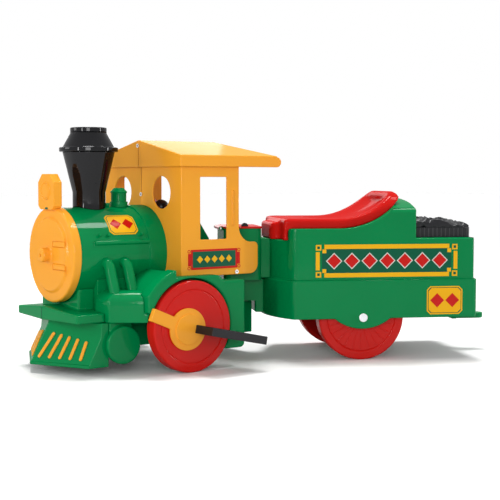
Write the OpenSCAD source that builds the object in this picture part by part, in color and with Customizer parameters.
// Ride-on toy train. The locomotive stands on two front wheels and is joined by an upright
// swivel pin to a tender, which carries the saddle on two rear wheels. Millimetres, +Z up.
// The train faces -X. Pieces are drawn from the floor point under the front axle.

/* [Wheels] */
// Radius of all four wheels
wheel_r = 110; // [106:1:113]
// Width of a front wheel
front_wheel_w = 35; // [30:1:38]
// Distance between the outer faces of the front wheels
front_span = 482; // [474:1:490]
// Width of a rear wheel
rear_wheel_w = 46; // [36:1:50]
// Distance between the outer faces of the rear wheels
rear_span = 318; // [300:1:322]
// Distance between the two axles when the train is straight
wheelbase = 582; // [560:1:600]
// Diameter of both axles
axle_d = 12; // [10:0.5:14]

/* [Boiler] */
// Radius of the boiler barrel
boiler_r = 113; // [106:1:116]
// Height of the boiler's centre line
boiler_z = 279; // [274:1:284]
// Distance of the boiler's front end ahead of the front axle
boiler_front = 227; // [222:1:232]
// Length of the wider band in front of the cab
wrapper_len = 48; // [36:1:60]
// Radius of the smokebox door
door_r = 115; // [110:1:120]
// Thickness of the door's rim
door_rim_t = 21; // [14:1:26]
// Width of the headlamp block
lamp_w = 78; // [60:1:84]
// Height of the top of the headlamp
lamp_top = 472; // [460:1:480]

/* [Chimney] */
// Distance of the chimney ahead of the front axle
chimney_ahead = 142; // [130:1:155]
// Height of the top of the chimney
chimney_top_z = 585; // [575:1:600]
// Radius of the chimney's wide flange
flange_r = 71.5; // [67:0.5:76]
// Radius of the chimney's foot
chimney_foot_r = 40; // [34:0.5:46]

/* [Cab] */
// Distance of the cab's front wall behind the front axle
cab_front = 9; // [4:1:14]
// Half of the cab's outer width
cab_half_w = 178; // [170:1:182]
// Distance of the cab's rear edge behind the front axle
cab_rear = 184; // [174:1:190]
// Distance of the rear end of the low side apron behind the front axle
apron_rear = 244; // [236:1:252]
// Width of a side window
window_w = 80; // [60:1:84]
// Height of a side window
window_h = 153; // [120:1:158]
// Radius of a front porthole
porthole_r = 40; // [30:1:44]
// Height of the roof ridge
ridge_z = 558; // [550:1:566]
// Height of the top of the eaves
eave_z = 518; // [510:1:524]
// Half of the roof's width at the eaves
eave_half_w = 190; // [187:1:196]
// Length of the roof along the ridge
ridge_len = 234; // [220:1:250]
// Length of the roof along the eaves
eave_len = 312; // [296:1:320]

/* [Front end] */
// Reach of the beam's nose ahead of the front axle
beam_nose = 274; // [268:1:280]
// Half of the width of the beam and the cowcatcher
beam_half_w = 150; // [140:1:156]
// Reach of the cowcatcher's nose ahead of the front axle
catcher_nose = 303; // [296:1:312]

/* [Footboards] */
// Length of a footboard
board_len = 165; // [140:1:180]
// Width of a footboard
board_w = 69; // [55:1:80]
// Thickness of a footboard
board_t = 20; // [16:1:22]

/* [Swivel] */
// Distance of the swivel pin behind the front axle
pivot_x = 170; // [164:1:174]
// Diameter of the swivel pin
pin_d = 16; // [12:0.5:18]
// Angle by which the tender stands turned to the locomotive
rest_swing = 29.3; // [0:0.1:31]

/* [Tender] */
// Distance of the middle of the bowed tender front behind the front axle
tender_front = 347; // [344:1:352]
// Depth of the bow of the tender front
bow_depth = 57; // [45:1:64]
// Half of the tender's width at the skirt
tender_half_w = 175; // [172:1:180]
// Distance of the tender's rear wall behind the front axle
tender_rear = 884; // [874:1:896]
// Height of the lower edge of the skirt
skirt_z = 107; // [100:1:112]
// Height of the ledge between the skirt and the upper body
ledge_z = 205; // [190:1:220]
// Height of the deck that the saddle lies on
seat_deck_z = 335; // [330:1:342]
// Height of the rear deck
rear_deck_z = 310; // [300:1:316]
// Height of the crown of the hump behind the saddle
hump_z = 411; // [402:1:418]

/* [Battery box] */
// Distance of the battery box behind the front axle
box_front = 240; // [238:1:246]
// Length of the battery box
box_len = 98; // [84:1:100]
// Half of the battery box's width
box_half_w = 77; // [70:1:80]
// Height of the top of the battery box
box_top = 333; // [320:1:338]

/* [Saddle and coal] */
// Thickness of the saddle
seat_t = 25; // [20:1:28]
// Half of the saddle's width
seat_half_w = 150; // [140:1:156]
// Height of the side of the coal load
coal_side_h = 26; // [18:1:30]

/* [Hidden] */
$fn = 64;

green = "#0a8246";
yellow = "#f9ab35";
red = "#d2231f";
black = "#17181c";
steel = "#b9bdc2";
nylon = "#e8e6de";

// Overrun of every cut, running clearance of a shaft and free clearance between pieces
overrun = 2;
fit = 0.05;
clear = 0.3;

// Wall of the large mouldings
shell = 5;
thin = 4;

// Front wheels, bushes and the gap round a wheel in its fender
axle_r = axle_d / 2;
axle_z = wheel_r;
bush_wall = 4;
bush_r = axle_r + bush_wall;
hub_wall = 12;
wheel_hub_r = bush_r + hub_wall;
wheel_rim_t = 12;
wheel_web_t = 7;
wheel_edge = 3;
groove_w = 4;
groove_depth = 2;
groove_r_share = 0.8;
rib_count = 24;
rib_w = 3;
rib_h = 1.5;
well_gap = 5;
well_r = wheel_r + well_gap;
front_half = front_span / 2;
front_inner = front_half - front_wheel_w;
rear_half = rear_span / 2;
rear_inner = rear_half - rear_wheel_w;
cover_gap = 2;

// Fenders
arch_depth = 33;
arch_r = wheel_r + arch_depth;
arch_step = 4;
arch_front = 120;
arch_end = 42;
arch_low = 148;
fender_lip = 9;
lip_drop = 7;
fender_top = axle_z + wheel_r + fender_lip;
plate_inset = 6;
fender_y = front_half - plate_inset;
web_gap = 6;
web_out = front_inner - web_gap;
web_in = web_out - shell;
post_rear = 159;
post_w = 59;
post_low = 47;
post_round = 12;
post_top = fender_top - 2 * lip_drop;

// Chassis
cab_low = fender_top - lip_drop;
chassis_half_w = 100;
chassis_low = 55;
chassis_front = 178;
slot_reach = 45;
slot_front = pivot_x - slot_reach;
slot_low = 138;
slot_high = 190;
tongue_half_w = 70;
tongue_reach = 138;
tongue_rear = pivot_x + tongue_reach;
shelf_r = 40;
pin_boss_r = 22;
pin_boss_h = 38;
axle_boss_r = 16;
axle_boss_t = 10;
dog_r = 16;
dog_gap = 1;

// Boiler fittings
wrapper_step = 3.5;
wrapper_r = boiler_r + wrapper_step;
ledge_rise = 30;
ledge_r = 6;
ledge_front = 190;
pipe_r = 13;
pipe_bend = 24;
pipe_lean = 22;
pipe_leg = 80;
pipe_inset = 6;
pipe_drop = 17;
pipe_ahead = [161, 112];
chimney_wall = 7;
flange_t = 11;
flange_drop = 48;
funnel_inset = 8;
funnel_share = 0.73;
funnel_h = funnel_share * (chimney_top_z - flange_drop - flange_t - boiler_z - boiler_r);
ring_h = 12;
ring_inset = 27;
mouth_depth = 30;
bell_ahead = 58;
bell_r = 19;
bell_foot_r = 22;
bell_foot_h = 12;
bell_flare = 2.5;
bell_cap_r = 12;
bell_h = 46;
bell_flare_h = 36;
bell_cap_h = 32;
valve_ahead = 92;
valve_r = 7;
valve_h = 9;

// Cylinders beside the boiler
block_top = 198;
block_low = 125;
block_front = 187;
block_rear = 100;
block_round = 30;
block_flare = 38;
block_wall = 14;
cyl_reach = 65;
cyl_y = chassis_half_w + cyl_reach;
under_block_drop = 41;
under_block_inset = 12;
under_block_setback = 10;
drum_r = 45;
drum_ahead = 144;
drum_z = 70;
drum_t = 14;
drum_edge = 2;

// Beam and cowcatcher
beam_top = 158;
beam_low = 124;
beam_tip_top = 146;
beam_tip_low = 126;
beam_sweep = 12;
beam_edge = 2;
beam_rear = block_front + clear;
saddle_half_w = 85;
saddle_top = 200;
saddle_setback = 5;
catcher_half_w = beam_half_w;
catcher_low = 20;
catcher_lip = 8;
catcher_lip_out = 3;
catcher_depth = catcher_nose - chassis_front;
catcher_sweep_share = 0.584;
catcher_rake_share = 0.4;
catcher_sweep = catcher_sweep_share * catcher_depth;
catcher_rake = catcher_rake_share * catcher_depth;
catcher_foot = catcher_low + catcher_lip;
shoulder_nose_drop = 7;
shoulder_side_drop = 37;
shoulder_back = 4;
bar_count = 5;
bar_w = 8;
bar_t = 3;
bar_first_share = 0.127;
bar_last_share = 0.834;
bar_foot = 13;
bar_len = 62;
bar_taper = 5.3;
bar_lean = 23;
bar_lean_step = 4.2;

// Smokebox door and headlamp
door_edge = 3;
door_disc_share = 0.8;
door_disc_h = 6;
door_boss_r = 17;
door_boss_h = 26;
door_hole_r = 3.5;
door_hole_depth = 14;
strap_h = 14;
strap_t = 1.5;
strap_rise = 27;
strap_in = 24;
lamp_front = 260;
lamp_depth = 23;
lamp_foot_w = 56;
lamp_chamfer = 20;
lamp_foot_h = 9;
lamp_low = 396;
lens_r = 22;
lens_t = 3;
lens_rim = 4;
lens_z = 432;

// Cab and roof
cab_wall = 5;
apron_h = 80;
apron_round = 24;
apron_top_round = 12;
sweep_r = 40;
window_low = 312;
window_front = 57;
window_round = 3;
porthole_y = 90;
porthole_z = 427;
rail_r = 3;
rail_setback = 20;
rail_low = 345;
rail_len = 87;
roof_t = 5;
fascia_h = 28;
fascia_t = 5;
roof_ahead = 9;
screw_r = 5;
screw_h = 2.5;
wall_screw_z = 422;
roof_screw_drop = 9;
side_screw_x = 175;
side_screw_rise = 7;

// Hub covers and footboards
cover_ahead = 20;
cover_drop = 4;
cover_r = 50;
cover_disc_r = 36;
cover_t = 6;
cover_disc_t = 4;
arm_w = 30;
arm_reach = 106;
arm_angle = 157;
arm_lug = 11;
cover_in = front_half + cover_gap;
cover_out = cover_in + cover_t + cover_disc_t;
board_front = -2;
board_drop = 3.6;
board_slope = 12.1;
tenon_w = 10;
tenon_h = 9;
tenon_from_end = 5;
tenon_len = cover_disc_t + cover_t / 2 - clear;
tread_count = 6;
tread_w = 4;
tread_depth = 1.5;

// Drive
gearbox_in = 30;
gear_r = 42;
motor_back = 75;
motor_case_r = 30;
motor_r = 26;
motor_len = 65;
dog_recess = 10;

// Backhead and handlebar
backhead_half_w = 60;
backhead_top = 372;
backhead_rear = 178;
backhead_slope_low = 307;
backhead_slope_run = 45;
bar_x = 68;
bar_z = 388;
bar_hub_r = 20;
bar_r = 8;
bar_half = 108;
stem_r = 14;
grip_wall = 6;
grip_in = 62;
grip_flange = 4;
grip_flange_t = 6;
button_y = 34;
button_r = 7;
button_housing_r = 11;
button_top = 20;
button_len = 16;
button_well = 24;
housing_top = 14;

// Swivel and drawbar
pin_r = pin_d / 2;
pin_head_r = 14;
pin_head_t = 8;
pin_tail = 8;
clip_r = 14;
clip_t = 4;
washer_r = 26;
eye_r = 30;
eye_gap = 4;
bar_half_w = 36;
box_low = 200;
root_reach = 158;
root_low = 112;
flange_half_w = 60;
flange_back = 22;

// Tender body
tier_inset = 7;
rear_round = 14;
nose_z = 306;
nose_end = 395;
back_x = 525;
back_r = 210;
back_angle = 50;
hump_rear = 722;
hump_round = 17;
hump_side_z = 384;
axle_skirt_drop = 26;
axle_skirt_half = 72;
cap_r = 11;
cap_t = 6;
hitch_leg_t = 14;
hitch_half_w = 22;
hitch_leg_half_w = 30;
hitch_leg_h = 62;
hitch_t = 14;
hitch_drop = 9;
hitch_reach = 54;
hitch_bore_d = 14;

// Battery box and lid
box_round = 12;
lid_t = 5;
lid_over = 2;
lid_plug = 3;
lid_plug_gap = 2;
lid_pin_r = 2.5;
knuckle_r = 5;
lid_pin_ahead = 6;
knuckle_half = 50;
ear_t = 8;
battery_gap = 6;
battery_h = 106;
strap_x = 295;
strap_y = 62;
strap_r = 9;
strap_w = 10;

// Saddle and coal
seat_front = 360;
seat_lip_t = 12;
seat_corner = 72;
seat_top = 431;
horn_half_w = 92;
horn_round = 22;
horn_rise = 14;
dish_half_w = 110;
dish_depth = 14;
dish_rim_angle = 4;
coal_front = 724;
coal_len = 150;
coal_half_w = 140;
coal_round = 8;
coal_rows = 7;
coal_cols = 11;
lump_size = 26;
lump_rise = 4;
heap_rise = 11;
lump_jitter = 4;
lump_sink = 8;

// Directions that set a pattern going without repeating
turn_step = 37;
tilt_step = 53;

// Inner line of the bow, the bow's radius and the roof's underside at a distance from the middle
bow_r = (tender_half_w * tender_half_w + bow_depth * bow_depth) / (2 * bow_depth);
roof_slope = (ridge_z - eave_z) / eave_half_w;
function roof_under(y) = ridge_z - roof_t - roof_slope * y;
crown_half = tender_half_w - tier_inset;
crown_rise = hump_z - hump_side_z;
crown_r = (crown_half * crown_half + crown_rise * crown_rise) / (2 * crown_rise);
axle_skirt_r = (axle_skirt_half * axle_skirt_half + axle_skirt_drop * axle_skirt_drop)
  / (2 * axle_skirt_drop);

// Corners of the train as it stands, which put the origin under the middle of its box
turn_c = cos(rest_swing);
turn_s = sin(rest_swing);
corner_x = tender_rear - rear_round - pivot_x;
corner_y = tender_half_w - rear_round;
hitch_x = tender_rear + hitch_reach - pivot_x;
far_x = pivot_x + max(corner_x * turn_c + corner_y * turn_s + rear_round, hitch_x * turn_c + hitch_half_w);
near_y = corner_x * turn_s + corner_y * turn_c + rear_round;
mid_x = (far_x - catcher_nose - catcher_lip_out) / 2;
mid_y = (cover_out + board_w - near_y) / 2;

// Helpers: places, profiles and rods
module in_loco() translate([-mid_x, -mid_y, 0]) children();
module in_tender() in_loco() translate([pivot_x, 0, 0]) rotate([0, 0, -rest_swing])
  translate([-pivot_x, 0, 0]) children();
module on_right() mirror([0, 1, 0]) children();
module both_sides() {
  children();
  on_right() children();
}
module along_x(start, length) translate([start, 0, 0]) rotate([90, 0, 90]) linear_extrude(length) children();
module along_y(start, length) translate([0, start + length, 0]) rotate([90, 0, 0]) linear_extrude(length)
  children();
module along_z(start, length) translate([0, 0, start]) linear_extrude(length) children();
module rod_x(radius, start, length) translate([start, 0, 0]) rotate([0, 90, 0]) cylinder(r = radius, h = length);
module rod_y(radius, start, length) translate([0, start, 0]) rotate([-90, 0, 0]) cylinder(r = radius, h = length);
module rod_z(radius, start, length) translate([0, 0, start]) cylinder(r = radius, h = length);
module block(x, y, z) translate([x[0], y[0], z[0]]) cube([x[1] - x[0], y[1] - y[0], z[1] - z[0]]);
module slab(x, y) translate([x[0], y[0]]) square([x[1] - x[0], y[1] - y[0]]);
module round_slab(x, y, r) {
  slab([x[0] + r, x[1] - r], y);
  slab(x, [y[0] + r, y[1] - r]);
  for (px = [x[0] + r, x[1] - r], py = [y[0] + r, y[1] - r]) translate([px, py]) circle(r = r);
}
module at_front_axle() translate([0, 0, axle_z]) children();
module at_rear_axle() translate([wheelbase, 0, axle_z]) children();

// Chassis: a box open below, with the boiler's cradle on top and the swivel's jaws behind
module boiler_solid(grow = 0) translate([0, 0, boiler_z]) {
  rod_x(boiler_r + grow, -boiler_front, boiler_front + cab_front);
  rod_x(wrapper_r + grow, cab_front - wrapper_len, wrapper_len);
}

module chassis_shell() color(green) in_loco() difference() {
  union() {
    difference() {
      union() {
        block([-chassis_front, slot_front], [-chassis_half_w, chassis_half_w], [chassis_low, cab_low]);
        block([slot_front, tongue_rear], [-tongue_half_w, tongue_half_w], [chassis_low, slot_low]);
        block([slot_front, pivot_x], [-shelf_r, shelf_r], [slot_high, cab_low]);
        translate([pivot_x, 0, 0]) rod_z(shelf_r, slot_high, cab_low - slot_high);
      }
      difference() {
        block([shell - chassis_front, slot_front - shell], [shell - chassis_half_w, chassis_half_w - shell],
          [chassis_low - overrun, cab_low - shell]);
        boiler_solid(shell);
      }
      block([slot_front - shell, tongue_rear - shell], [shell - tongue_half_w, tongue_half_w - shell],
        [chassis_low - overrun, slot_low - 2 * shell]);
    }
    translate([pivot_x, 0, 0]) rod_z(pin_boss_r, slot_low - pin_boss_h, pin_boss_h);
    at_front_axle() rod_y(axle_boss_r, shell - chassis_half_w - overrun, axle_boss_t + overrun);
  }
  boiler_solid();
  translate([pivot_x, 0, 0]) {
    rod_z(pin_r + fit, chassis_low, cab_low);
    rod_z(pin_head_r + clear, cab_low - pin_head_t, pin_head_t + overrun);
  }
  at_front_axle() rod_y(axle_r + fit, -chassis_half_w - overrun, chassis_half_w);
  at_front_axle() rod_y(dog_r + dog_gap, 0, chassis_half_w + overrun);
}

// Boiler: a closed barrel with moulded side ledges
module boiler_shell() color(green) in_loco() {
  difference() {
    boiler_solid();
    translate([0, 0, boiler_z]) rod_x(boiler_r - thin, thin - boiler_front, boiler_front + cab_front);
  }
  both_sides() difference() {
    translate([0, -sqrt(boiler_r * boiler_r - ledge_rise * ledge_rise), boiler_z + ledge_rise])
      rod_x(ledge_r, -ledge_front, ledge_front + cab_front - wrapper_len);
    translate([0, 0, boiler_z]) rod_x(boiler_r - thin / 2, -boiler_front, boiler_front);
  }
}

// Steam pipes: a leaning leg from each cylinder block that bends into the boiler
module steam_pipe() translate([0, pipe_inset - boiler_r, boiler_z - pipe_drop - pipe_bend]) rotate([90, 0, -90])
  rotate([0, 0, pipe_lean]) {
    rotate_extrude(angle = 90 - pipe_lean) translate([pipe_bend, 0]) circle(r = pipe_r);
    translate([pipe_bend, 0, 0]) rotate([90, 0, 0]) cylinder(r = pipe_r, h = pipe_leg);
  }
module steam_pipes() color(green) in_loco() both_sides() for (ahead = pipe_ahead) difference() {
  translate([-ahead, 0, 0]) steam_pipe();
  boiler_solid();
  block_form();
  block([-front_half, front_half], [-front_half, 0], [0, block_top - block_round]);
  along_y(-web_in, web_in) arch_outline(cab_low, arch_r - arch_step);
}

// Backhead: the end of the boiler inside the cab, with a sloped rear face
module backhead() color(green) in_loco() {
  start = cab_front + cab_wall;
  slope_top = backhead_rear - backhead_slope_run;
  difference() {
    along_y(-backhead_half_w, 2 * backhead_half_w) polygon([
      [start, cab_low], [backhead_rear, cab_low], [backhead_rear, backhead_slope_low],
      [slope_top, backhead_top], [start, backhead_top]
    ]);
    block([start + thin, slope_top - thin], [thin - backhead_half_w, backhead_half_w - thin],
      [cab_low - overrun, backhead_top - thin]);
  }
}

// Front beam: two wings swept back from a nose, thinner towards their ends
module beam_edge_post(x, y, low, high) translate([x, y, low]) cylinder(r = beam_edge, h = high - low, $fn = 16);

module front_beam() color(green) in_loco() difference() {
  tip_x = beam_edge - beam_nose + beam_sweep;
  union() {
    both_sides() hull() {
      beam_edge_post(beam_edge - beam_nose, 0, beam_low, beam_top);
      beam_edge_post(tip_x, beam_edge - beam_half_w, beam_tip_low, beam_tip_top);
      beam_edge_post(-beam_rear - beam_edge, beam_edge - beam_half_w, beam_tip_low, beam_tip_top);
      beam_edge_post(-beam_rear - beam_edge, 0, beam_low, beam_top);
    }
    block([-beam_rear - beam_edge, -chassis_front], [-chassis_half_w, chassis_half_w], [beam_low, beam_tip_top]);
    block([saddle_setback - boiler_front, -chassis_front], [-saddle_half_w, saddle_half_w], [beam_tip_low, saddle_top]);
  }
  boiler_solid(clear);
}

// Cowcatcher: a raked wedge with steep shoulders, open behind and below, with a lip along its foot
module catcher_plan(grow) polygon([
  [-catcher_nose - grow, 0], [catcher_sweep - catcher_nose - grow, -catcher_half_w],
  [-chassis_front, -catcher_half_w], [-chassis_front, catcher_half_w],
  [catcher_sweep - catcher_nose - grow, catcher_half_w]
]);
module catcher_face() {
  face_len = sqrt(catcher_sweep * catcher_sweep + catcher_half_w * catcher_half_w);
  back = catcher_rake * catcher_half_w / face_len;
  translate([-catcher_nose, 0, catcher_foot])
    rotate([atan2(beam_low - catcher_foot, back), 0, -atan2(catcher_half_w, catcher_sweep)]) children();
}
function raked_x(z) = catcher_rake * (z - catcher_foot) / (beam_low - catcher_foot) - catcher_nose;
module catcher_shoulder() {
  nose_z = beam_low - shoulder_nose_drop;
  side_z = beam_low - shoulder_side_drop;
  ridge = [raked_x(nose_z), 0, nose_z];
  side = [raked_x(side_z) + catcher_sweep, -catcher_half_w, side_z];
  corner = side + [shoulder_back, 0, shoulder_side_drop];
  out = cross(side - ridge, corner - side);
  translate(ridge) rotate([0, acos(out[2] / norm(out)), atan2(out[1], out[0])]) children();
}
module beyond(inset) translate([-catcher_nose, -catcher_nose, -inset])
  cube([2 * catcher_nose, 2 * catcher_nose, catcher_nose]);
module catcher_wedge(inset) difference() {
  block([-catcher_nose - catcher_lip_out, -chassis_front], [inset - catcher_half_w, catcher_half_w - inset],
    [catcher_foot - overrun, beam_low - inset]);
  both_sides() intersection() {
    catcher_face() beyond(inset);
    catcher_shoulder() beyond(inset);
  }
}

module cowcatcher() color(green) in_loco() difference() {
  union() {
    catcher_wedge(0);
    along_z(catcher_low, catcher_lip) catcher_plan(catcher_lip_out);
  }
  translate([overrun, 0, 0]) catcher_wedge(shell);
  along_z(catcher_low - overrun, catcher_lip + 2 * overrun) translate([shell + catcher_lip_out, 0])
    intersection() {
      catcher_plan(0);
      slab([-catcher_nose, catcher_nose], [shell - catcher_half_w, catcher_half_w - shell]);
    }
}

// Yellow bars on the two raked faces, set in the plane of each face
module catcher_bars() color(yellow) in_loco() both_sides() catcher_face() {
  face_len = sqrt(catcher_sweep * catcher_sweep + catcher_half_w * catcher_half_w);
  step = face_len * (bar_last_share - bar_first_share) / (bar_count - 1);
  for (i = [0 : bar_count - 1]) translate([face_len * bar_first_share + i * step, bar_foot, 0])
    rotate([0, 0, i * bar_lean_step - bar_lean]) linear_extrude(bar_t) {
      slab([-bar_w / 2, bar_w / 2], [0, bar_len - i * bar_taper]);
      circle(r = bar_w / 2);
      translate([0, bar_len - i * bar_taper]) circle(r = bar_w / 2);
    }
}

// Smokebox door with a raised disc, a centre boss and two hinge straps
module smokebox_door() color(yellow) in_loco() translate([-boiler_front, 0, boiler_z]) {
  disc_r = door_r * door_disc_share;
  face = door_rim_t + door_disc_h;
  difference() {
    rotate([0, -90, 0]) rotate_extrude() polygon([
      [0, door_rim_t - shell], [door_r - 2 * shell, door_rim_t - shell], [door_r - 2 * shell, 0],
      [door_r, 0], [door_r, door_rim_t - door_edge], [door_r - door_edge, door_rim_t],
      [disc_r, door_rim_t], [disc_r - door_edge, face - door_edge], [disc_r - 2 * door_edge, face],
      [door_boss_r + door_edge, face], [door_boss_r, face + door_edge],
      [door_boss_r, face + door_boss_h - 2 * door_edge], [door_boss_r - door_edge, face + door_boss_h - door_edge],
      [0, face + door_boss_h - door_edge]
    ]);
    rod_x(door_hole_r, -face - door_boss_h, door_hole_depth);
  }
  for (rise = [-strap_rise, strap_rise])
    block([-face - strap_t, -face], [-disc_r + 3 * door_edge, -strap_in], [rise - strap_h / 2, rise + strap_h / 2]);
}

// Headlamp: a block with cut corners that stands on the door's rim
module headlamp() color(yellow) in_loco() {
  half = lamp_w / 2;
  foot = lamp_foot_w / 2;
  difference() {
    union() {
      along_x(-lamp_front, lamp_depth) polygon([
        [-foot, lamp_low - lamp_foot_h], [foot, lamp_low - lamp_foot_h], [half, lamp_low],
        [half, lamp_top - lamp_chamfer], [half - lamp_chamfer, lamp_top], [lamp_chamfer - half, lamp_top],
        [-half, lamp_top - lamp_chamfer], [-half, lamp_low]
      ]);
      translate([0, 0, lens_z]) rod_x(lens_r, -lamp_front - lens_t, lens_t);
    }
    translate([0, 0, lens_z]) rod_x(lens_r - lens_rim, -lamp_front - lens_t - overrun, lens_t + overrun - lens_t / 2);
    translate([0, 0, boiler_z]) rod_x(door_r, -boiler_front - door_rim_t, door_rim_t + boiler_front);
  }
}

// Chimney in two mouldings: the foot with its funnel, and the flanged top with an open mouth
module chimney_base() color(black) in_loco() difference() {
  flange_low = chimney_top_z - flange_drop - flange_t;
  translate([-chimney_ahead, 0, 0]) rotate_extrude() polygon([
    [chimney_foot_r - chimney_wall, boiler_z], [chimney_foot_r, boiler_z], [chimney_foot_r, flange_low - funnel_h],
    [flange_r - funnel_inset, flange_low], [flange_r - funnel_inset - chimney_wall, flange_low],
    [chimney_foot_r - chimney_wall, flange_low - funnel_h]
  ]);
  boiler_solid();
}
module chimney_top() color(black) in_loco() translate([-chimney_ahead, 0, 0]) rotate_extrude() polygon([
  [0, chimney_top_z - flange_drop - flange_t], [flange_r, chimney_top_z - flange_drop - flange_t],
  [flange_r, chimney_top_z - flange_drop], [flange_r - funnel_inset, chimney_top_z - flange_drop],
  [flange_r - ring_inset - thin / 4, chimney_top_z - ring_h], [flange_r - ring_inset, chimney_top_z - ring_h],
  [flange_r - ring_inset, chimney_top_z], [flange_r - ring_inset - chimney_wall, chimney_top_z],
  [flange_r - ring_inset - chimney_wall, chimney_top_z - mouth_depth], [0, chimney_top_z - mouth_depth]
]);

// Small fittings on top of the boiler
module steam_bell() color(green) in_loco() difference() {
  base = boiler_z + boiler_r;
  translate([-bell_ahead, 0, 0]) rotate_extrude() polygon([
    [0, boiler_z], [bell_foot_r, boiler_z], [bell_foot_r, base + bell_foot_h], [bell_r, base + bell_foot_h],
    [bell_r, base + bell_cap_h], [bell_r + bell_flare, base + bell_flare_h],
    [bell_cap_r, base + bell_h], [0, base + bell_h]
  ]);
  boiler_solid();
}
module safety_valve() color(green) in_loco() difference() {
  translate([-valve_ahead, 0, 0]) rod_z(valve_r, boiler_z, boiler_r + valve_h);
  boiler_solid();
}

// Cylinder block, flared out towards the wheel, with its round drum below; hollow from the inner side
module block_end() {
  slab([block_round, 2 * front_half], [block_low, block_top]);
  slab([0, block_round], [block_low, block_top - block_round]);
  translate([block_round, block_top - block_round]) circle(r = block_round);
}
module block_side() {
  slab([block_round - block_front, -block_rear], [block_low, block_top]);
  slab([-block_front, -block_rear], [block_low, block_top - block_round]);
  translate([block_round - block_front, block_top - block_round]) circle(r = block_round);
}
module block_form() intersection() {
  translate([-block_front, -cyl_y, 0]) rotate([0, 0, -block_flare]) along_x(-front_half, 2 * front_half) block_end();
  along_y(-front_half, front_half - chassis_half_w) block_side();
}
module cylinder_block() {
  difference() {
    union() {
      block_form();
      block([under_block_setback - block_front, -block_rear], [under_block_inset - cyl_y, -chassis_half_w],
        [block_low - under_block_drop, block_low + overrun]);
    }
    block([block_wall - block_front, -block_rear - block_wall], [block_wall - cyl_y, overrun - chassis_half_w],
      [block_low + block_wall / 2, block_top - block_wall]);
    along_y(-front_half, front_half) translate([0, axle_z]) circle(r = well_r);
    along_y(-front_half, front_half - web_in) arch_outline(fender_top, arch_r);
    along_y(-web_in, web_in) arch_outline(cab_low, arch_r - arch_step);
  }
  translate([-drum_ahead, 0, drum_z]) rotate([90, 0, 0]) rotate_extrude() polygon([
    [0, cyl_y - drum_t], [drum_r, cyl_y - drum_t], [drum_r, cyl_y - drum_edge], [drum_r - drum_edge, cyl_y], [0, cyl_y]
  ]);
}
module cylinder_left() color(green) in_loco() cylinder_block();
module cylinder_right() color(green) in_loco() on_right() cylinder_block();

// Fender: the arch over a front wheel with its outer plate, inner web and rear post
module arch_outline(top, radius, inset = 0) intersection() {
  translate([0, axle_z]) circle(r = radius - inset);
  union() {
    slab([inset - arch_front, arch_r], [arch_low - inset, top - inset]);
    slab([inset - arch_front, -arch_end - inset], [arch_low - inset, 2 * arch_r]);
  }
}
module post_outline() {
  slab([post_rear - post_w, post_rear], [post_low + post_round, post_top]);
  slab([post_rear - post_w, post_rear - post_round], [post_low, post_low + post_round]);
  translate([post_rear - post_round, post_low + post_round]) circle(r = post_round);
}
module fender() {
  difference() {
    along_y(-fender_y, fender_y - web_in) {
      arch_outline(fender_top, arch_r);
      post_outline();
    }
    along_y(-fender_y - overrun, fender_y + overrun - web_out) translate([0, axle_z]) circle(r = well_r);
  }
  difference() {
    along_y(-web_in, web_in - chassis_half_w) arch_outline(cab_low, arch_r - arch_step);
    along_y(-web_in, web_in) arch_outline(cab_low, arch_r - arch_step, shell);
    boiler_solid(clear);
  }
}
module fender_left() color(green) in_loco() fender();
module fender_right() color(green) in_loco() on_right() fender();

// Cab half: front wall with a porthole, side wall with a window, low apron and a moulded rail
module cab_side() difference() {
  union() {
    slab([cab_front, cab_rear], [cab_low, roof_under(cab_half_w)]);
    slab([cab_front, apron_rear - apron_round], [cab_low, cab_low + apron_h]);
    slab([cab_front, apron_rear - apron_top_round], [cab_low + apron_round, cab_low + apron_h]);
    slab([cab_front, apron_rear], [cab_low + apron_round, cab_low + apron_h - apron_top_round]);
    translate([apron_rear - apron_round, cab_low + apron_round]) circle(r = apron_round);
    translate([apron_rear - apron_top_round, cab_low + apron_h - apron_top_round]) circle(r = apron_top_round);
    difference() {
      slab([cab_rear, cab_rear + sweep_r], [cab_low + apron_h, cab_low + apron_h + sweep_r]);
      translate([cab_rear + sweep_r, cab_low + apron_h + sweep_r]) circle(r = sweep_r);
    }
  }
  round_slab([cab_front + window_front, cab_front + window_front + window_w], [window_low, window_low + window_h],
    window_round);
}
module cab_half() {
  along_y(-cab_half_w, cab_wall) cab_side();
  along_x(cab_front, cab_wall) difference() {
    polygon([[0, cab_low], [-cab_half_w, cab_low], [-cab_half_w, roof_under(cab_half_w)], [0, roof_under(0)]]);
    translate([-porthole_y, porthole_z]) circle(r = porthole_r);
  }
  translate([cab_rear - rail_setback, -cab_half_w, 0]) rod_z(rail_r, rail_low, rail_len);
}
module cab_left() color(yellow) in_loco() cab_half();
module cab_right() color(yellow) in_loco() on_right() cab_half();

// Roof half: a sloped sheet with a rear edge swept out to the eaves, a fascia and half of the gable
module roof_half() {
  front = cab_front - roof_ahead;
  intersection() {
    along_x(front, eave_len) polygon([
      [0, ridge_z], [-eave_half_w, eave_z], [-eave_half_w, eave_z - roof_t], [0, ridge_z - roof_t]
    ]);
    along_z(0, ridge_z) polygon([
      [front, 0], [front + ridge_len, 0], [front + eave_len - fascia_h / 2, -eave_half_w], [front, -eave_half_w]
    ]);
  }
  along_y(-eave_half_w, fascia_t) {
    slab([front, front + eave_len - fascia_h / 2], [eave_z - fascia_h, eave_z - roof_t / 2]);
    translate([front + eave_len - fascia_h / 2, eave_z - (fascia_h + roof_t / 2) / 2])
      circle(r = (fascia_h - roof_t / 2) / 2);
  }
  along_x(front, fascia_t) polygon([
    [0, eave_z - fascia_h], [-eave_half_w, eave_z - fascia_h], [-eave_half_w, eave_z - roof_t / 2],
    [0, ridge_z - roof_t / 2]
  ]);
}
module roof_left() color(yellow) in_loco() roof_half();
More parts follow.
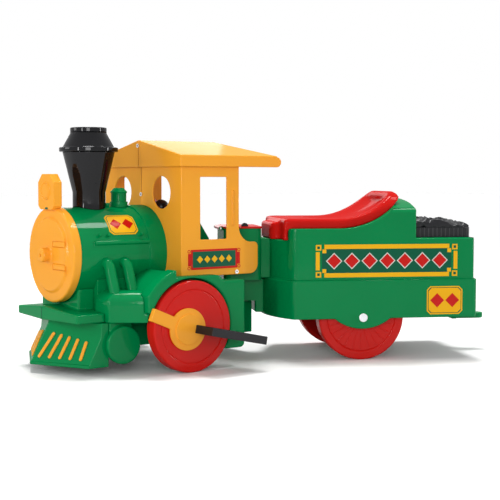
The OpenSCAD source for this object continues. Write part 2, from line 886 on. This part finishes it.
module roof_right() color(yellow) in_loco() on_right() roof_half();

// Screws that join the cab's halves and hold its sides
module cab_screws() color(steel) in_loco() {
  translate([0, 0, wall_screw_z]) rod_x(screw_r, cab_front - screw_h, screw_h);
  translate([0, 0, ridge_z - roof_t - roof_screw_drop]) rod_x(screw_r, cab_front - roof_ahead - screw_h, screw_h);
  both_sides() translate([side_screw_x, 0, cab_low + side_screw_rise]) rod_y(screw_r, -cab_half_w - screw_h, screw_h);
}

// Front axle, its spacer, and the drive beside it
module front_axle() color(steel) in_loco() at_front_axle()
  rod_y(axle_r, -cover_in - cover_t / 2, 2 * cover_in + cover_t);
module axle_spacer() color(black) in_loco() at_front_axle() difference() {
  rod_y(bush_r, -front_inner + clear, front_inner - clear - chassis_half_w);
  rod_y(axle_r + fit, -front_inner, front_inner);
}
module gearbox() color(black) in_loco() difference() {
  at_front_axle() {
    rod_y(gear_r, gearbox_in, chassis_half_w - shell - gearbox_in);
    translate([motor_back, 0, 0]) rod_y(motor_case_r, gearbox_in, chassis_half_w - shell - gearbox_in);
    block([0, motor_back], [gearbox_in, chassis_half_w - shell], [-motor_case_r, motor_case_r]);
  }
  at_front_axle() {
    rod_y(axle_r + fit, 0, chassis_half_w);
    rod_y(dog_r + dog_gap, chassis_half_w - shell - dog_recess, dog_recess + overrun);
  }
}
module motor() color(steel) in_loco() at_front_axle() translate([motor_back, 0, 0])
  rod_y(motor_r, gearbox_in - motor_len, motor_len);
module drive_dog() color(black) in_loco() at_front_axle() difference() {
  rod_y(dog_r, chassis_half_w - shell - dog_recess + clear, front_inner - chassis_half_w + shell + dog_recess - clear);
  rod_y(axle_r + fit, 0, front_half);
}

// Wheels are dished mouldings on nylon bushes; profiles run from the inner to the outer face
module wheel_disc(w) {
  ring_r = wheel_r * groove_r_share;
  rotate_extrude() polygon([
    [bush_r, 0], [wheel_hub_r, 0], [wheel_hub_r, w - wheel_web_t], [wheel_r - wheel_rim_t, w - wheel_web_t],
    [wheel_r - wheel_rim_t, 0], [wheel_r - wheel_edge, 0], [wheel_r, wheel_edge], [wheel_r, w - wheel_edge],
    [wheel_r - wheel_edge, w], [ring_r + groove_w / 2, w], [ring_r, w - groove_depth], [ring_r - groove_w / 2, w],
    [bush_r, w]
  ]);
}
module wheel_ribs(w) for (i = [0 : rib_count - 1]) rotate([0, 0, i * 360 / rib_count])
  translate([wheel_hub_r, -rib_w / 2, w - rib_h])
  cube([wheel_r * groove_r_share - groove_w - wheel_hub_r, rib_w, 2 * rib_h]);
module bush(length) difference() {
  rod_z(bush_r, 0, length);
  rod_z(axle_r + fit, -overrun, length + 2 * overrun);
}
module facing_left(inner) translate([0, -inner, 0]) rotate([90, 0, 0]) children();

module front_wheel_left() color(red) in_loco() at_front_axle() facing_left(front_inner) wheel_disc(front_wheel_w);
module front_wheel_right() color(red) in_loco() on_right() at_front_axle() facing_left(front_inner)
  wheel_disc(front_wheel_w);
module front_bush_left() color(nylon) in_loco() at_front_axle() facing_left(front_inner)
  bush(front_wheel_w + cover_gap - clear);
module front_bush_right() color(nylon) in_loco() on_right() at_front_axle() facing_left(front_inner)
  bush(front_wheel_w + cover_gap - clear);

// Hub cover: a fixed disc on the axle's end whose arm is steadied by a lug on the fender
module hub_cover() {
  centre = [-cover_ahead, axle_z - cover_drop];
  difference() {
    union() {
      along_y(-cover_in - cover_t, cover_t) translate(centre) {
        circle(r = cover_r);
        rotate([0, 0, arm_angle]) slab([0, arm_reach], [-arm_w / 2, arm_w / 2]);
      }
      along_y(-cover_out, cover_disc_t) translate(centre) circle(r = cover_disc_r);
      along_y(-cover_in, cover_in - fender_y) translate(centre) rotate([0, 0, arm_angle])
        slab([arm_reach - arm_lug, arm_reach], [-arm_w / 2, arm_w / 2]);
    }
    at_front_axle() rod_y(axle_r + fit, -cover_in - cover_t / 2, cover_t);
    board_place() block([tenon_from_end - clear, tenon_from_end + tenon_w + clear],
      [-cover_out, tenon_len - cover_out], [-tenon_h / 2 - clear, tenon_h / 2 + clear]);
  }
}
module hub_cover_left() color(yellow) in_loco() hub_cover();
module hub_cover_right() color(yellow) in_loco() on_right() hub_cover();

// Footboard: a sloped board that plugs into the hub cover, with treads across its top
module board_place() translate([board_front, 0, axle_z - board_drop]) rotate([0, board_slope, 0]) children();
module footboard() board_place() difference() {
  union() {
    block([0, board_len], [-cover_out - board_w, -cover_out], [-board_t / 2, board_t / 2]);
    block([tenon_from_end, tenon_from_end + tenon_w], [-cover_out, tenon_len - cover_out], [-tenon_h / 2, tenon_h / 2]);
  }
  for (i = [1 : tread_count]) translate([board_len * i / (tread_count + 1), 0, 0])
    block([-tread_w / 2, tread_w / 2], [-cover_out - board_w - overrun, overrun - cover_out],
      [board_t / 2 - tread_depth, board_t]);
}
module footboard_left() color(black) in_loco() footboard();
module footboard_right() color(black) in_loco() on_right() footboard();

// Handlebar on the backhead, its two grips and the accelerator button
module handlebar() color(black) in_loco() translate([bar_x, 0, bar_z]) difference() {
  union() {
    sphere(r = bar_hub_r);
    rod_y(bar_r, -bar_half, 2 * bar_half);
    rod_z(stem_r, backhead_top - bar_z, bar_z - backhead_top);
    translate([0, button_y, 0]) rod_z(button_housing_r, -button_housing_r, button_housing_r + housing_top);
  }
  translate([0, button_y, 0]) rod_z(button_r + clear, button_top - button_well, button_well);
  block([-bar_hub_r, bar_hub_r], [-bar_hub_r, bar_hub_r], [-2 * bar_hub_r, backhead_top - bar_z]);
}
module grip() translate([bar_x, 0, bar_z]) difference() {
  union() {
    rod_y(bar_r + grip_wall, -bar_half - grip_flange_t, bar_half + grip_flange_t - grip_in);
    rod_y(bar_r + grip_wall + grip_flange, -grip_in - grip_flange_t, grip_flange_t);
  }
  rod_y(bar_r, -bar_half, bar_half);
}
module grip_left() color(black) in_loco() grip();
module grip_right() color(black) in_loco() on_right() grip();
module accelerator_button() color(red) in_loco() translate([bar_x, button_y, bar_z])
  rod_z(button_r, button_top - button_len, button_len);

// Swivel pin with its clip, and the washers above and below the drawbar's eye
module swivel_pin() color(steel) in_loco() translate([pivot_x, 0, 0]) {
  tail = slot_low - pin_boss_h - clip_t - pin_tail;
  rod_z(pin_r, tail, cab_low - tail);
  rod_z(pin_head_r, cab_low - pin_head_t, pin_head_t);
}
module ring(outer, inner, start, height) difference() {
  rod_z(outer, start, height);
  rod_z(inner, start - overrun, height + 2 * overrun);
}
module swivel_washers() color(nylon) in_loco() translate([pivot_x, 0, 0]) {
  ring(washer_r, pin_r + fit, slot_low, eye_gap - clear);
  ring(washer_r, pin_r + fit, slot_high - eye_gap + clear, eye_gap - clear);
}
module pin_clip() color(steel) in_loco() translate([pivot_x, 0, 0])
  ring(clip_r, pin_r + fit, slot_low - pin_boss_h - clip_t, clip_t);

// Drawbar: an eye between the chassis jaws, a seat under the battery box and a deep root on the tender
module drawbar() color(green) in_tender() {
  low = slot_low + eye_gap;
  high = slot_high - eye_gap;
  difference() {
    union() {
      translate([pivot_x, 0, 0]) rod_z(eye_r, low, high - low);
      block([pivot_x, box_front], [-bar_half_w, bar_half_w], [low, high]);
      block([box_front, tender_front + flange_back], [-bar_half_w, bar_half_w], [low, box_low]);
      block([pivot_x + root_reach, tender_front + flange_back], [-bar_half_w, bar_half_w], [root_low, box_low]);
    }
    translate([pivot_x, 0, 0]) rod_z(pin_r + fit, low - overrun, high - low + 2 * overrun);
    along_z(root_low - overrun, box_low) tender_plan(0);
  }
}

// Battery box, open on top, with ears for the lid's pin and a back shaped to the tender's bow
module box_plan(inset) round_slab([box_front + inset, box_front + box_len - inset],
  [inset - box_half_w, box_half_w - inset], box_round - inset);
module lid_axis() translate([box_front - lid_pin_ahead, 0, box_top + clear]) children();

module battery_box() color(green) in_tender() {
  difference() {
    along_z(box_low, box_top - box_low) box_plan(0);
    along_z(box_low + thin, box_top - box_low) box_plan(thin);
  }
  difference() {
    block([box_front + box_len - thin, tender_front + flange_back], [box_round - box_half_w, box_half_w - box_round],
      [ledge_z + clear, nose_z]);
    along_z(ledge_z, nose_z) tender_plan(tier_inset);
  }
  both_sides() difference() {
    lid_ear();
    lid_axis() rod_y(lid_pin_r + fit, -box_half_w, 2 * box_half_w);
  }
}
module lid_ear() {
  start = -knuckle_half - clear - ear_t;
  lid_axis() rod_y(knuckle_r, start, ear_t);
  block([box_front - lid_pin_ahead, box_front + thin / 2], [start, start + ear_t],
    [box_top + clear - knuckle_r, box_top]);
}
module battery() color(black) in_tender() along_z(box_low + thin, battery_h) box_plan(battery_gap);
module lid_pin() color(steel) in_tender() lid_axis()
  rod_y(lid_pin_r, -knuckle_half - clear - ear_t, 2 * (knuckle_half + clear + ear_t));

// Battery lid with a plug that drops into the box, a knuckle and a pull tab
module battery_lid() color(red) in_tender() difference() {
  union() {
    along_z(box_top + clear, lid_t) round_slab([box_front, box_front + box_len + lid_over],
      [-box_half_w - lid_over, box_half_w + lid_over], box_round);
    along_z(box_top + clear - lid_plug, lid_plug) box_plan(thin + lid_plug_gap);
    lid_axis() rod_y(knuckle_r, -knuckle_half, 2 * knuckle_half);
    block([box_front - lid_pin_ahead, box_front + box_round], [-knuckle_half, knuckle_half],
      [box_top + clear, box_top + clear + lid_t]);
  }
  lid_axis() rod_y(lid_pin_r + fit, -box_half_w, 2 * box_half_w);
}
module lid_strap() color(black) in_tender() translate([strap_x, 0, box_top + clear + lid_t])
  along_y(-strap_y - strap_w, strap_w) intersection() {
    circle(r = strap_r);
    slab([-strap_r, strap_r], [0, strap_r]);
  }

// Tender body: a bowed front, two tiers, a saddle deck, a hump and a rear deck, open below
module tender_plan(inset) {
  middle = (tender_front + tender_rear) / 2;
  half = tender_half_w - inset;
  intersection() {
    translate([tender_front + bow_r, 0]) circle(r = bow_r - inset);
    slab([tender_front, middle], [-half, half]);
  }
  round_slab([middle - rear_round, tender_rear - inset], [-half, half], max(rear_round - inset, thin / 2));
}
module plan_part(inset, x) intersection() {
  tender_plan(inset);
  slab(x, [-tender_half_w, tender_half_w]);
}
module hump_side(inset) {
  rear = hump_rear - inset;
  top = hump_z - inset;
  low = rear_deck_z - 2 * inset;
  difference() {
    union() {
      slab([back_x - inset, rear], [low, top - hump_round]);
      slab([back_x - inset, rear - hump_round], [low, top]);
      translate([rear - hump_round, top - hump_round]) circle(r = hump_round);
    }
    translate([back_x, seat_deck_z + back_r]) circle(r = back_r + clear + inset);
  }
}
module hump_crown(inset) intersection() {
  translate([0, hump_z - crown_r]) circle(r = crown_r - inset);
  slab([inset - crown_half, crown_half - inset], [rear_deck_z - 2 * inset, hump_z]);
}
module hump(inset) intersection() {
  along_y(-crown_half, 2 * crown_half) hump_side(inset);
  along_x(back_x - inset, hump_rear - back_x + inset) hump_crown(inset);
}
module tender_body() difference() {
  inner = tier_inset + shell;
  union() {
    along_z(skirt_z, ledge_z - skirt_z) tender_plan(0);
    along_z(ledge_z, nose_z - ledge_z) tender_plan(tier_inset);
    along_z(nose_z, seat_deck_z - nose_z) plan_part(tier_inset, [nose_end, hump_rear]);
    along_z(nose_z, rear_deck_z - nose_z) plan_part(tier_inset, [hump_rear, tender_rear]);
    hump(0);
  }
  hump(shell);
  along_z(skirt_z - overrun, ledge_z - shell + overrun - skirt_z) tender_plan(shell);
  along_z(skirt_z, nose_z - shell - skirt_z) tender_plan(inner);
  along_z(skirt_z, seat_deck_z - shell - skirt_z) plan_part(inner, [nose_end + shell, back_x]);
}
module axle_skirt() along_y(-tender_half_w, shell) intersection() {
  translate([wheelbase, skirt_z - axle_skirt_drop + axle_skirt_r]) circle(r = axle_skirt_r);
  slab([wheelbase - axle_skirt_half, wheelbase + axle_skirt_half], [skirt_z - axle_skirt_drop, ledge_z - shell]);
}
module tender_shell() color(green) in_tender() difference() {
  union() {
    tender_body();
    both_sides() axle_skirt();
  }
  at_rear_axle() rod_y(axle_r + fit, -tender_half_w - overrun, 2 * (tender_half_w + overrun));
}

// Saddle: a flat front, a dished back that sweeps up the hump, a front lip and a horn over the nose
module seat_side() {
  centre = [back_x, seat_deck_z + back_r];
  end = [sin(back_angle), -cos(back_angle)];
  slab([nose_end, back_x], [seat_deck_z, seat_deck_z + seat_t]);
  slab([nose_end - seat_lip_t, nose_end - clear], [nose_z + clear, seat_deck_z + seat_t]);
  slab([nose_end - overrun, nose_end + overrun], [seat_deck_z, seat_deck_z + seat_t]);
  intersection() {
    difference() {
      translate(centre) circle(r = back_r);
      translate(centre) circle(r = back_r - seat_t);
    }
    polygon([centre, centre + [0, -2 * back_r], centre + [2 * back_r, -2 * back_r], centre + 2 * back_r * end]);
  }
  translate(centre + (back_r - seat_t / 2) * end) circle(r = seat_t / 2);
}
module seat_front_view() round_slab([-seat_half_w, seat_half_w], [nose_z - 2 * seat_corner, seat_top], seat_corner);
module seat_dish() {
  arc_r = (dish_half_w * dish_half_w + dish_depth * dish_depth) / (2 * dish_depth);
  reach = back_r - seat_t + dish_depth;
  translate([back_x, 0, seat_deck_z + back_r]) rotate([90, 0, 0]) rotate([0, 0, 180])
    rotate_extrude(angle = 90 + back_angle - dish_rim_angle) intersection() {
      translate([reach - arc_r, 0]) circle(r = arc_r);
      slab([0, 2 * reach], [-2 * dish_half_w, 2 * dish_half_w]);
    }
}
module seat() color(red) in_tender() {
  difference() {
    intersection() {
      along_y(-seat_half_w, 2 * seat_half_w) seat_side();
      along_x(seat_front, tender_rear - seat_front) seat_front_view();
    }
    seat_dish();
  }
  intersection() {
    along_z(nose_z + clear, seat_deck_z + horn_rise - nose_z - clear)
      round_slab([seat_front, back_x], [-horn_half_w, horn_half_w], horn_round);
    block([seat_front, nose_end - clear], [-horn_half_w, horn_half_w], [nose_z, seat_top]);
  }
}

// Coal load: a shallow tray with a heap of angular lumps
module coal_plan(inset) round_slab([coal_front + inset, coal_front + coal_len - inset],
  [inset - coal_half_w, coal_half_w - inset], coal_round - inset);
module coal_tray() color(black) in_tender() difference() {
  along_z(rear_deck_z, coal_side_h) coal_plan(0);
  along_z(rear_deck_z - overrun, coal_side_h + overrun - thin) coal_plan(thin);
}
module lump(i) rotate([i * turn_step, i * tilt_step, i * (turn_step + tilt_step)]) hull() {
  cube(lump_size, center = true);
  rotate([0, 0, turn_step]) cube(lump_size, center = true);
}
module coal_lumps() color(black) in_tender() intersection() {
  top = rear_deck_z + coal_side_h;
  along_z(top, 2 * lump_size) slab([coal_front, coal_front + coal_len], [-coal_half_w, coal_half_w]);
  for (c = [0 : coal_cols - 1], r = [0 : coal_rows - 1]) {
    u = (r + 0.5) / coal_rows;
    v = (c + 0.5) / coal_cols;
    i = c * coal_rows + r;
    x = coal_front + u * coal_len + lump_jitter * sin(i * turn_step);
    y = (2 * v - 1) * coal_half_w + lump_jitter * cos(i * tilt_step);
    heap = heap_rise * (1 - u) + lump_rise * sin(180 * v) + lump_rise * sin(i * tilt_step);
    translate([x, y, top - lump_sink + heap]) lump(i);
  }
}

// Rear hitch: a leg inside the rear wall and a tongue with an upright bore
module rear_hitch() color(green) in_tender() {
  wall = tender_rear - shell;
  tongue_top = skirt_z - hitch_drop;
  block([wall - hitch_leg_t, wall], [-hitch_leg_half_w, hitch_leg_half_w], [tongue_top - hitch_t, tongue_top + hitch_leg_h]);
  difference() {
    union() {
      block([wall - hitch_leg_t, tender_rear + hitch_reach], [-hitch_half_w, hitch_half_w],
        [tongue_top - hitch_t, tongue_top]);
      translate([tender_rear + hitch_reach, 0, 0]) rod_z(hitch_half_w, tongue_top - hitch_t, hitch_t);
    }
    translate([tender_rear + hitch_reach, 0, 0]) rod_z(hitch_bore_d / 2, tongue_top - 2 * hitch_t, 3 * hitch_t);
  }
}

// Rear axle with its spacer, push caps and ribbed wheels
module rear_axle() color(steel) in_tender() at_rear_axle()
  rod_y(axle_r, -tender_half_w - cap_t / 2, 2 * tender_half_w + cap_t);
module rear_spacer() color(black) in_tender() at_rear_axle() difference() {
  rod_y(bush_r, clear - rear_inner, 2 * (rear_inner - clear));
  rod_y(axle_r + fit, -rear_inner, 2 * rear_inner);
}
module axle_caps() color(steel) in_tender() both_sides() at_rear_axle() difference() {
  rod_y(cap_r, -tender_half_w - cap_t, cap_t);
  rod_y(axle_r + fit, -tender_half_w - cap_t / 2, cap_t);
}
module rear_wheel() {
  wheel_disc(rear_wheel_w);
  wheel_ribs(rear_wheel_w);
}
module rear_wheel_left() color(red) in_tender() at_rear_axle() facing_left(rear_inner) rear_wheel();
module rear_wheel_right() color(red) in_tender() on_right() at_rear_axle() facing_left(rear_inner) rear_wheel();
module rear_bush_left() color(nylon) in_tender() at_rear_axle() facing_left(rear_inner)
  bush(tender_half_w - shell - clear - rear_inner);
module rear_bush_right() color(nylon) in_tender() on_right() at_rear_axle() facing_left(rear_inner)
  bush(tender_half_w - shell - clear - rear_inner);

chassis_shell();
boiler_shell();
steam_pipes();
backhead();
front_beam();
cowcatcher();
catcher_bars();
smokebox_door();
headlamp();
chimney_base();
chimney_top();
steam_bell();
safety_valve();
cylinder_left();
cylinder_right();
fender_left();
fender_right();
cab_left();
cab_right();
roof_left();
roof_right();
cab_screws();
front_axle();
axle_spacer();
gearbox();
motor();
front_wheel_left();
front_bush_left();
front_wheel_right();
front_bush_right();
drive_dog();
hub_cover_left();
hub_cover_right();
footboard_left();
footboard_right();
handlebar();
grip_left();
grip_right();
accelerator_button();
swivel_pin();
swivel_washers();
pin_clip();
drawbar();
battery_box();
battery();
battery_lid();
lid_pin();
lid_strap();
tender_shell();
seat();
coal_tray();
coal_lumps();
rear_hitch();
rear_axle();
rear_spacer();
axle_caps();
rear_wheel_left();
rear_bush_left();
rear_wheel_right();
rear_bush_right();
